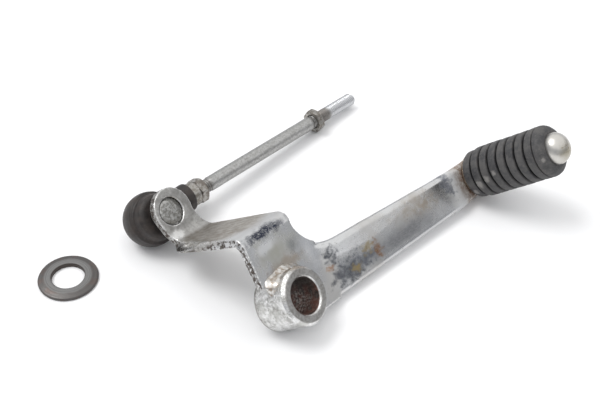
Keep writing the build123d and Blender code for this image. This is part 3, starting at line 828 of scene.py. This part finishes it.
def peg_rubber():
    """Ribs with soft shoulders between eight narrow grooves, none of them quite even."""
    hole_r = pin_r + 0.05
    rubber_r, groove_r, first_rib_r = 11.0, 9.4, 10.4
    pitch, first, mouth, floor_width = 4.52, 4.5, 1.28, 0.76
    corners = [(hole_r, collar_top, 0.1), (first_rib_r, collar_top, 1.3)]
    for k in range(8):
        z = collar_top + first + k * pitch
        below = first_rib_r if k == 0 else rubber_r
        corners += [
            (below, z - mouth / 2, 0.5),
            (groove_r, z - floor_width / 2, 0.12),
            (groove_r, z + floor_width / 2, 0.12),
            (rubber_r, z + mouth / 2, 0.5),
        ]
    # the outer end rounds over, given as radius and depth below the top
    end = [(rubber_r, 3.6), (10.85, 2.5), (10.4, 1.5), (9.7, 0.75), (8.7, 0.22), (7.6, 0.02)]
    corners += [(radius, rubber_top - down, 0) for radius, down in end]
    corners.append((hole_r, rubber_top, 0.3))
    outline = divided(rounded(corners, steps=4), 0.7)

    def worn(angle, radius, height):
        if radius < 7.0:
            return radius, height
        spot = (radius * cos(angle), radius * sin(angle), height)
        outer = limited((radius - 9.9) / 1.1)
        swell = 0.16 * wander(spot, 8.0, 1.0) + 0.05 * wander(spot, 1.6, 2.0)
        lean = 0.12 * wander((2.0 * cos(angle), 2.0 * sin(angle), height / 3), 1.0, 6.0)
        return radius - 0.1 + swell * outer, height + (lean if radius < 10.9 else 0.5 * lean)

    mesh = turned_mesh("peg_rubber_ribbed", peg, outline, 128, shape=worn)
    finished("peg_rubber_ribbed", mesh, "lever", "peg_rubber", peg_rubber_finish(), "peg_rubber")


# ---- ball joint -----------------------------------------------------------------------------
def ball_stud():
    """The riveted head, shank, shoulder, neck and ball."""
    ball_z = inside(stud, ball).z
    ball_r, neck_r, shoulder_r, head_r, shank_r = 5.0, 3.0, 5.0, 5.2, 4.0
    pocket = eye_front - 1.7
    corners = rounded([
        (0, pocket + 1.35, 0),
        (head_r - 1.4, pocket + 1.28, 0.6),
        (head_r, pocket + 0.75, 0.45),
        (head_r, pocket, 0.1),
        (shank_r, pocket, 0.05),
        (shank_r, eye_back, 0.05),
        (shoulder_r, eye_back, 0.1),
        (shoulder_r, eye_back - 0.6, 0.15),
        (neck_r, eye_back - 0.6, 0.2),
        (neck_r, ball_z + sqrt(ball_r**2 - neck_r**2), 0),
    ], closed=False)
    sphere = arc_points(ball_r, ball_r, pi / 2 - asin(neck_r / ball_r), -pi / 2, 30, centre=ball_z)[1:]

    def hammered(angle, radius, height):
        if height < pocket + 0.3 or radius < 0.05:
            return radius, height
        spot = (radius * cos(angle), radius * sin(angle), 0)
        return radius, height + 0.13 * wander(spot, 2.2, 8.0) + 0.05 * wander(spot, 0.8, 9.0)

    outline = divided(corners, 0.4, closed=False) + sphere
    mesh = turned_mesh("ball_stud_turned", stud, outline, 96, closed=False, shape=hammered)
    steel = bare_steel("stud_steel", stud, (0.43, 0.43, 0.42), (0.19, 0.185, 0.17), size=1.3)
    finished("ball_stud_turned", mesh, "lever", "stud_steel", steel, "ball_stud")


def dust_boot():
    """Rubber cover: dome, soft step and lip turned about the socket, drawn out to a sleeve."""
    dome_r, inner_r = 11.4, 10.2
    dome_top, inner_top = 2.4, 2.2
    outer = arc_points(dome_r, dome_r, -pi / 2, asin(dome_top / dome_r), 40)
    inner = arc_points(inner_r, inner_r, asin(inner_top / inner_r), -pi / 2, 40)
    edge = outer[-1].x
    # the step and lip, out and back in
    skirt = rounded([
        (edge, dome_top, 0),
        (edge - 0.05, 3.5, 0.8),
        (9.75, 3.9, 0.9),
        (9.7, 5.8, 1.2),
        (9.2, 8.0, 1.1),
        (7.9, 8.9, 0.8),
        (4.2, 9.3, 0.5),
        (4.0, 8.3, 0.4),
        (8.1, 7.0, 0.6),
        (8.12, 4.0, 1.0),
        (9.3, 2.6, 0),
    ], closed=False)[1:]
    shell = turned_mesh("boot_shell", joint, outer + skirt + inner, 120, closed=False)
    sleeve_in_r, sleeve_start, sleeve_end = 4.65, 9.0, 20.6
    sleeve = turned_mesh("boot_sleeve", rod, rounded([
        (sleeve_in_r, sleeve_start, 0.1),
        (6.1, sleeve_start, 0.1),
        (5.9, 15.5, 2.0),
        (6.2, 18.6, 0.8),
        (6.25, sleeve_end, 0.7),
        (sleeve_in_r, sleeve_end, 0.3),
    ]), 96)
    bm = bmesh.new()
    bm.from_mesh(shell)
    bm.from_mesh(sleeve)
    both = bpy.data.meshes.new("boot_parts")
    bm.to_mesh(both)
    bm.free()
    mesh = voxelled("dust_boot_soft", both, voxel=0.33, passes=6)
    pushed(mesh, joint, lambda spot, _: 0.10 * wander(spot, 5.0, 2.0) + 0.03 * wander(spot, 1.2, 4.0) - 0.04)
    piece = finished("dust_boot_soft", mesh, None, "boot_rubber", boot_rubber_finish(), "dust_boot")
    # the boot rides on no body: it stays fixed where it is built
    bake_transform(piece)


def joint_housing():
    """The socket and its shank, with edges worn round. Gives its steel, for the cap."""
    mesh = voxelled("joint_housing_worn", nodes["joint_housing"].data.copy(), voxel=0.24, passes=4)
    steel = bare_steel("housing_steel", joint, (0.42, 0.41, 0.39), (0.22, 0.20, 0.17), (0.28, 0.5), 1.6)
    finished("joint_housing_worn", mesh, "housing", "housing_steel", steel, "joint_housing")
    return steel


def socket_cap(steel):
    """A pressed disc with a shallow dished middle."""
    cap_r, low, high = 5.98, -6.98, -6.2
    outline = rounded([
        (0, low + 0.23, 0),
        (3.0, low + 0.23, 1.0),
        (3.8, low, 0.4),
        (cap_r, low, 0.2),
        (cap_r, high, 0.2),
        (3.8, high, 0.4),
        (3.0, high + 0.15, 1.0),
        (0, high + 0.15, 0),
    ], closed=False)
    mesh = turned_mesh("socket_cap_pressed", joint, divided(outline, 0.6, closed=False), 72, closed=False)
    finished("socket_cap_pressed", mesh, "housing", "housing_steel", steel, "socket_cap")


def ball_seat():
    """The thin liner, open towards the eye, with a lip at each end."""
    ball_z = inside(stud, ball).z
    in_r, out_r = 5.06, 5.94
    low, high = -4.5, 3.3
    outline = []
    for radius, first, last in ((out_r, low, high), (in_r, high, low)):
        outline += arc_points(radius, radius, asin(first / radius), asin(last / radius), 20, centre=ball_z)
    mesh = turned_mesh("ball_seat_moulded", stud, outline, 72)
    finished("ball_seat_moulded", mesh, "swivel_seat", "seat_plastic", seat_finish(), "ball_seat")


# ---- rod and locknuts -----------------------------------------------------------------------
def threaded(angle, radius, height):
    """The radius of a right-hand thread at this angle and height."""
    phase = (height / thread_pitch - angle / tau) % 1.0
    rise = abs(2 * phase - 1)
    return radius - thread_depth * (1 - limited((rise - 0.12) / 0.72))


def link_rod():
    """One long turned piece: thread, shank, thread and a chamfered tip."""
    fine, coarse, run_out = thread_pitch / 8, 0.8, 0.6
    heights = []
    height = rod_start
    while height < rod_end - 0.4:
        heights.append(height)
        in_thread = height < near_thread_end + 0.7 or height > far_thread_start - 0.3
        height += fine if in_thread else coarse
    tip = [(2.75, rod_end - 0.35), (2.45, rod_end), (1.2, rod_end + 0.02), (0, rod_end + 0.02)]
    outline = [Vector((0, rod_start)), *(Vector((thread_r, h)) for h in heights), *map(Vector, tip)]

    def shaped(angle, radius, height):
        if radius < thread_r - 0.1:
            return radius, height
        threads = threaded(angle, radius, height)
        entered = limited((height - near_thread_end) / run_out)
        plain = min(entered, limited(1 + (far_thread_start - height) / run_out))
        spot = (radius * cos(angle), radius * sin(angle), height)
        shank = shank_r + 0.02 * wander(spot, 3.0, 1.0)
        return threads + (shank - threads) * plain, height

    mesh = turned_mesh("link_rod_threaded", rod, outline, 48, closed=False, shape=shaped)
    finished("link_rod_threaded", mesh, "rod", "rod_zinc", rod_zinc(), "link_rod")


def locknut(name, node, body, start, end, turn, material):
    """A hexagon nut with chamfered corners, worn edges and a countersunk hole."""
    flat_r, hole_r = 4.98, thread_r + 0.08
    corner_r = flat_r / cos(pi / 6)
    sink, chamfer = 0.45, 0.62
    outline = divided(rounded([
        (hole_r, start + 0.4, 0.1),
        (hole_r + sink, start, 0.15),
        (flat_r - 0.25, start, 0.12),
        (corner_r + 0.05, start + chamfer, 0),
        (corner_r + 0.05, end - chamfer, 0),
        (flat_r - 0.25, end, 0.12),
        (hole_r + sink, end, 0.15),
        (hole_r, end - 0.4, 0.1),
    ]), 0.18)

    def hexed(angle, radius, height):
        if radius < hole_r + 0.1:
            return radius, height
        corner = (angle - turn + pi / 6) % (pi / 3) - pi / 6
        flat = flat_r / cos(pi / 6 - abs(corner))
        worn = min(flat, corner_r - 0.10)
        spot = (radius * cos(angle), radius * sin(angle), height)
        return min(radius, worn + 0.04 * wander(spot, 1.8, 3.0)), height

    mesh = turned_mesh(name, rod, outline, 144, shape=hexed)
    finished(name, mesh, body, "nut_steel", material, node)


# ---- loose washer ---------------------------------------------------------------------------
def pivot_washer():
    """A thick washer with a broad slope round its upper face."""
    rim_r, low, high = 12.0, -0.85, 1.15
    outline = rounded([
        (washer_hole_r, low + 0.05, 0.15),
        (rim_r - 0.2, low, 0.3),
        (rim_r, low + 0.75, 0.4),
        (rim_r - 0.3, high - 0.7, 0.3),
        (9.4, high - 0.05, 0.6),
        (washer_hole_r + 0.3, high, 0.25),
        (washer_hole_r, high - 0.4, 0.25),
    ])

    def worn(angle, radius, height):
        spot = (radius * cos(angle), radius * sin(angle), height)
        if height < low + 0.3:
            return radius, height
        ring = 0.035 * sin(radius * 5.2)
        return radius + 0.05 * wander(spot, 3.0, 1.0), height + ring + 0.03 * wander(spot, 2.0, 2.0) - 0.03

    mesh = turned_mesh("pivot_washer_worn", washer, divided(outline, 0.3), 144, shape=worn)
    finished("pivot_washer_worn", mesh, "washer", "washer_steel", washer_finish(), "pivot_washer")


# ---- floor, light and camera ----------------------------------------------------------------
def floor():
    """A large plain pale floor, a hair below the washer that lies on it."""
    floor_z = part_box("pivot_washer")[0][2] - 0.02 * MM
    bm = bmesh.new()
    bmesh.ops.create_grid(bm, x_segments=8, y_segments=8, size=12)
    bmesh.ops.translate(bm, verts=bm.verts, vec=(0, 0, floor_z))
    mesh = bpy.data.meshes.new("floor")
    bm.to_mesh(mesh)
    bm.free()
    plane = bpy.data.objects.new("floor", mesh)
    bpy.context.scene.collection.objects.link(plane)
    paper = bpy.data.materials.new("floor_paper")
    paper.use_nodes = True
    shader = paper.node_tree.nodes["Principled BSDF"]
    shader.inputs["Base Color"].default_value = (0.93, 0.93, 0.935, 1)
    shader.inputs["Roughness"].default_value = 0.5
    shader.inputs["Specular IOR Level"].default_value = 0.25
    mesh.materials.append(paper)


def studio_light():
    """White above, grey below a soft tilted edge, with one broad soft light overhead."""
    edge_tilt, edge_low, edge_high = 0.256, 0.505, 0.56
    above, below = (1.13, 1.13, 1.13, 1), (0.50, 0.51, 0.53, 1)
    toward_sun = Vector((-0.227, 0.417, 0.873))
    world = bpy.data.worlds.new("studio")
    bpy.context.scene.world = world
    world.use_nodes = True
    tree = world.node_tree
    background = tree.nodes["Background"]
    source = tree.nodes.new("ShaderNodeTexCoord")
    split = tree.nodes.new("ShaderNodeSeparateXYZ")
    tree.links.new(source.outputs["Generated"], split.inputs[0])
    tilt = tree.nodes.new("ShaderNodeMath")
    tilt.operation = "MULTIPLY_ADD"
    tilt.inputs[1].default_value = edge_tilt
    tree.links.new(split.outputs["X"], tilt.inputs[0])
    tree.links.new(split.outputs["Z"], tilt.inputs[2])
    edge = tree.nodes.new("ShaderNodeMapRange")
    edge.interpolation_type = "SMOOTHSTEP"
    edge.inputs["From Min"].default_value = edge_low
    edge.inputs["From Max"].default_value = edge_high
    tree.links.new(tilt.outputs[0], edge.inputs["Value"])
    blend = tree.nodes.new("ShaderNodeMix")
    blend.data_type = "RGBA"
    blend.inputs[6].default_value = below
    blend.inputs[7].default_value = above
    tree.links.new(edge.outputs[0], blend.inputs[0])
    tree.links.new(blend.outputs[2], background.inputs["Color"])
    lamp = bpy.data.lights.new("overhead", "SUN")
    lamp.energy = 1.25
    lamp.angle = radians(30)
    sun = bpy.data.objects.new("overhead", lamp)
    sun.rotation_mode = "QUATERNION"
    sun.rotation_quaternion = toward_sun.to_track_quat("Z", "Y")
    bpy.context.scene.collection.objects.link(sun)


def camera():
    """Looks down at the lever from beyond its pivot, as a person standing over it would."""
    heading, drop, roll = radians(52.80), radians(42.73), radians(1.19)
    where = Vector((-185.86, -144.38, 267.72)) * MM
    focal_length = 57.14
    forward = Vector((sin(heading) * cos(drop), cos(heading) * cos(drop), -sin(drop)))
    level = forward.cross(Vector((0, 0, 1))).normalized()
    right = Matrix.Rotation(-roll, 3, forward) @ level
    turn = Matrix((right, right.cross(forward), -forward)).transposed()
    lens = bpy.data.cameras.new("camera")
    lens.sensor_width = 36.0
    lens.lens = focal_length
    lens.clip_start = 10 * MM
    view = bpy.data.objects.new("camera", lens)
    view.rotation_mode = "QUATERNION"
    view.rotation_quaternion = turn.to_quaternion()
    view.location = where
    bpy.context.scene.collection.objects.link(view)
    bpy.context.scene.camera = view


bpy.context.scene.view_settings.view_transform = "Standard"
camera()
floor()
studio_light()

lever_plate()
pivot_boss()
weld_steel = weld_chrome()
weld("boss_weld_outer_bead", "boss_weld_outer", plate_front, 1, 196, 0.75, weld_steel)
weld("boss_weld_inner_bead", "boss_weld_inner", plate_back, -1, 168, 0, weld_steel)
peg_pin()
peg_collar()
peg_rubber()
ball_stud()
ball_seat()
socket_cap(joint_housing())
dust_boot()
link_rod()
nut_steel = bare_steel("nut_steel", rod, (0.38, 0.37, 0.35), (0.17, 0.15, 0.13), size=1.8)
locknut("inner_locknut_worn", "inner_locknut", "inner_nut", 24.3, 28.3, radians(12), nut_steel)
locknut("outer_locknut_worn", "outer_locknut", "outer_nut", 98.6, 101.8, radians(42), nut_steel)
pivot_washer()
